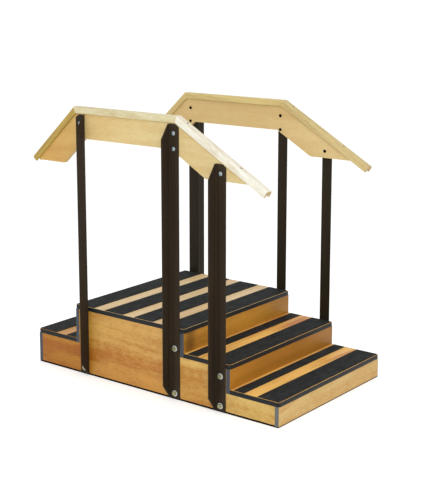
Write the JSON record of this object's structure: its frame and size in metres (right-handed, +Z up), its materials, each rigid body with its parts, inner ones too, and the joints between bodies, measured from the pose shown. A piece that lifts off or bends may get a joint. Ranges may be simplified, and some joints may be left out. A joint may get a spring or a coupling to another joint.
{
  "type": "training stairs with handrails",
  "caption": "Two-sided wooden training stairs with a middle platform, striped anti-slip treads and a pair of arched wooden handrails on bolted steel angle posts.",
  "frame": {"origin": "on the floor, midway along the length and across the width", "axes": "+X along the stairs towards the two low steps, +Y across the treads, +Z up"},
  "size_m": [1.316, 0.856, 1.174],
  "materials": {
    "side_veneer": "clear satin lacquer on maple veneer plywood",
    "riser_veneer": "clear satin lacquer on maple veneer plywood",
    "tread_veneer": "clear satin lacquer on maple veneer plywood",
    "deck_veneer": "clear satin lacquer on maple veneer plywood",
    "framing_wood": "bare softwood and plywood",
    "edge_banding": "satin dark grey-blue edge banding",
    "anti_slip_rubber": "matte fine-textured rubber",
    "runner_plastic": "matte black",
    "post_powder_coat": "dark brown powder coat",
    "rail_plate_veneer": "clear satin lacquer on birch plywood",
    "cap_birch": "clear satin lacquer on solid birch",
    "screw_brass": "dull antique brass",
    "bolt_zinc": "bright zinc plate",
    "nut_black": "black oxide"
  },
  "bodies": {
    "root": {"near_side_panel": "side_veneer", "far_side_panel": "side_veneer", "left_end_riser": "riser_veneer", "platform_left_riser": "riser_veneer", "platform_right_riser": "riser_veneer", "low_middle_riser": "riser_veneer", "right_end_riser": "riser_veneer", "riser_end_bands": "edge_banding", "high_tread": "tread_veneer", "platform_deck": "deck_veneer", "middle_tread": "tread_veneer", "lower_tread": "tread_veneer", "high_tread_edging": "edge_banding", "platform_edging": "edge_banding", "middle_tread_edging": "edge_banding", "lower_tread_edging": "edge_banding", "high_tread_grips": "anti_slip_rubber", "platform_grips": "anti_slip_rubber", "middle_tread_grips": "anti_slip_rubber", "lower_tread_grips": "anti_slip_rubber", "near_floor_runner": "runner_plastic", "far_floor_runner": "runner_plastic", "end_floor_strips": "runner_plastic", "platform_ribs": "framing_wood", "tread_bearers": "framing_wood", "corner_blocks": "framing_wood", "near_post_blocks": "framing_wood", "far_post_blocks": "framing_wood", "near_left_post": "post_powder_coat", "near_middle_post": "post_powder_coat", "near_right_post": "post_powder_coat", "far_left_post": "post_powder_coat", "far_middle_post": "post_powder_coat", "far_right_post": "post_powder_coat", "near_rail_plate": "rail_plate_veneer", "far_rail_plate": "rail_plate_veneer", "near_left_cap": "cap_birch", "near_level_cap": "cap_birch", "near_right_cap": "cap_birch", "far_left_cap": "cap_birch", "far_level_cap": "cap_birch", "far_right_cap": "cap_birch", "cap_screws": "screw_brass", "rail_bolts": "bolt_zinc", "rail_nuts": "nut_black", "base_bolts": "bolt_zinc", "base_washers": "bolt_zinc", "base_nuts": "bolt_zinc"}
  },
  "joints": []
}
